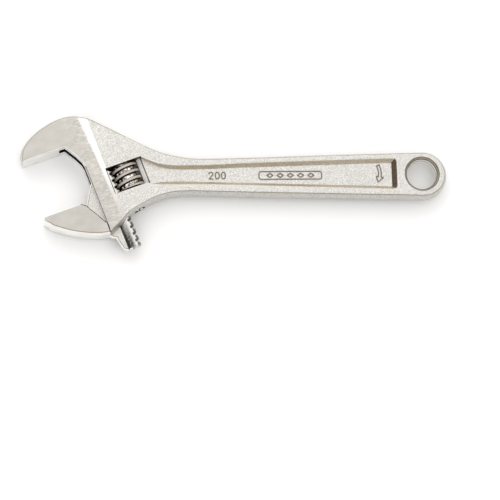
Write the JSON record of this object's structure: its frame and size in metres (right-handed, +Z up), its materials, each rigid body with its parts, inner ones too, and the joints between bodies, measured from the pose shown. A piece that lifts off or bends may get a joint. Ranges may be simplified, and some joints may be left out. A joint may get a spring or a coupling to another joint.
{
  "type": "adjustable wrench",
  "caption": "Adjustable wrench with a forged body, a sliding hook jaw on a toothed rod, a thumb worm on a pin and a hang hole in the handle's end.",
  "frame": {"origin": "middle of the tool's box, on the surface it lies on", "axes": "+X along the handle from the jaws to the hang hole, +Y across it towards the fixed jaw, +Z up through the tool's thickness"},
  "size_m": [0.2032, 0.065, 0.013],
  "materials": {
    "forged_body": "satin nickel plate over a forged grain, ground flat on the head",
    "jaw_steel": "satin nickel plate, ground flat faces",
    "worm_steel": "bright turned steel",
    "pin_steel": "turned steel",
    "spring_steel": "drawn wire"
  },
  "bodies": {
    "body": {"body": "forged_body", "worm_pin": "pin_steel", "tension_spring": "spring_steel"},
    "movable_jaw": {"movable_jaw": "jaw_steel"},
    "worm": {"worm": "worm_steel"}
  },
  "joints": [
    {"name": "worm_spin", "type": "hinge", "parent": "body", "child": "worm", "pos_m": [-0.05134, 0.00296, 0.0065], "axis": [-0.342, 0.9397, 0], "range_deg": [-2986, 0]},
    {"name": "jaw_slide", "type": "slide", "parent": "body", "child": "movable_jaw", "axis": [-0.342, 0.9397, 0], "range_m": [0, 0.0282]}
  ],
  "couplings": [
    {"joint": "worm_spin", "follows": "jaw_slide", "rad_per_m": -1848}
  ]
}
